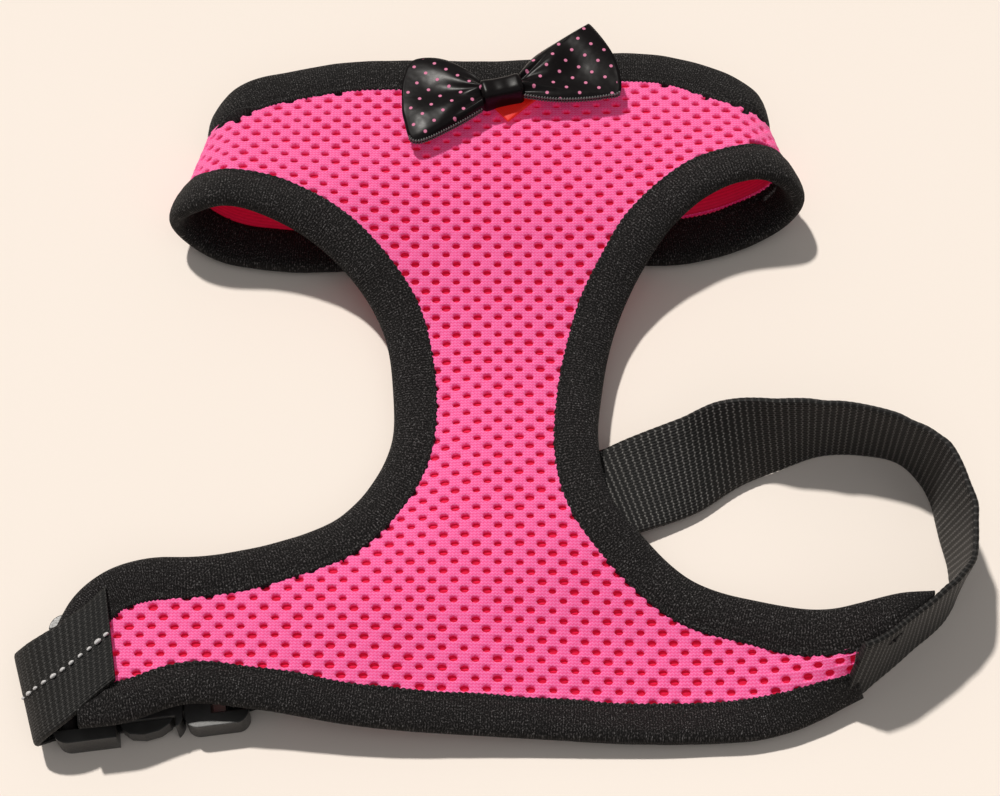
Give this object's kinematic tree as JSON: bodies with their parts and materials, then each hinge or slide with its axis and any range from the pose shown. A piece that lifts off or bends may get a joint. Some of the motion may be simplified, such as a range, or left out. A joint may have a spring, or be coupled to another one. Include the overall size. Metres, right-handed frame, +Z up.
{
  "type": "no pull harness",
  "caption": "Step-in mesh vest harness lying flat, with bound edges, a webbing girth strap, a side-release buckle, a leash ring and a satin bow.",
  "frame": {"origin": "middle of the harness's box, on the table it lies on", "axes": "+X from the buckle's side to the strap's side, +Y from the belly band to the neck, +Z up off the table"},
  "size_m": [0.1912, 0.1628, 0.0222],
  "materials": {
    "pink_mesh": "open air mesh, matte",
    "crimson_lining": "fine knit, matte",
    "black_binding": "ribbed knit with fine silver specks",
    "black_webbing": "ribbed woven nylon, low sheen",
    "white_thread": "twisted thread",
    "black_thread": "twisted thread",
    "ring_steel": "polished plated wire",
    "black_plastic": "fine satin texture",
    "black_satin": "satin ribbon with small pale dots",
    "red_ribbon": "woven tape"
  },
  "bodies": {
    "harness": {"chest_mesh": "pink_mesh", "chest_lining": "crimson_lining", "collar_back_mesh": "pink_mesh", "collar_back_lining": "crimson_lining", "neck_binding": "black_binding", "armhole_binding_left": "black_binding", "armhole_binding_right": "black_binding", "belly_binding": "black_binding", "tab_webbing": "black_webbing", "tab_thread": "white_thread", "tab_stitching": "black_thread", "girth_strap": "black_webbing", "strap_stitching": "black_thread", "strap_run": "black_webbing", "strap_return": "black_webbing", "ring_keeper": "black_webbing", "buckle_socket": "black_plastic", "bow_wing_left": "black_satin", "bow_wing_right": "black_satin", "bow_knot": "black_satin", "bow_tack": "black_thread", "red_tag": "red_ribbon"},
    "plug": {"buckle_plug": "black_plastic"},
    "prong_back": {"buckle_prong_back": "black_plastic"},
    "prong_front": {"buckle_prong_front": "black_plastic"},
    "slider": {"strap_slider": "black_plastic"},
    "ring": {"leash_ring": "ring_steel"}
  },
  "joints": [
    {"name": "plug_release", "type": "slide", "parent": "harness", "child": "plug", "axis": [0.9914, 0.1305, 0], "range_m": [0, 0.014], "deforming": ["strap_run", "strap_return", "buckle_prong_back", "buckle_prong_front"]},
    {"name": "prong_back_press", "type": "hinge", "parent": "plug", "child": "prong_back", "pos_m": [-0.06173, -0.05689, 0.0031], "axis": [0, 0, 1], "range_deg": [0, 12], "stiffness_Nm_per_rad": 0.02},
    {"name": "prong_front_press", "type": "hinge", "parent": "plug", "child": "prong_front", "pos_m": [-0.05974, -0.07196, 0.0031], "axis": [0, 0, -1], "range_deg": [0, 12], "stiffness_Nm_per_rad": 0.02},
    {"name": "slider_adjust", "type": "slide", "parent": "plug", "child": "slider", "axis": [0.9511, 0.309, 0], "range_m": [-0.006, 0.002], "deforming": ["strap_run", "strap_return"]},
    {"name": "ring_swing", "type": "hinge", "parent": "harness", "child": "ring", "pos_m": [0.0034, -0.035, 0.0021], "axis": [0.5, -0.866, 0], "range_deg": [0, 180]}
  ]
}
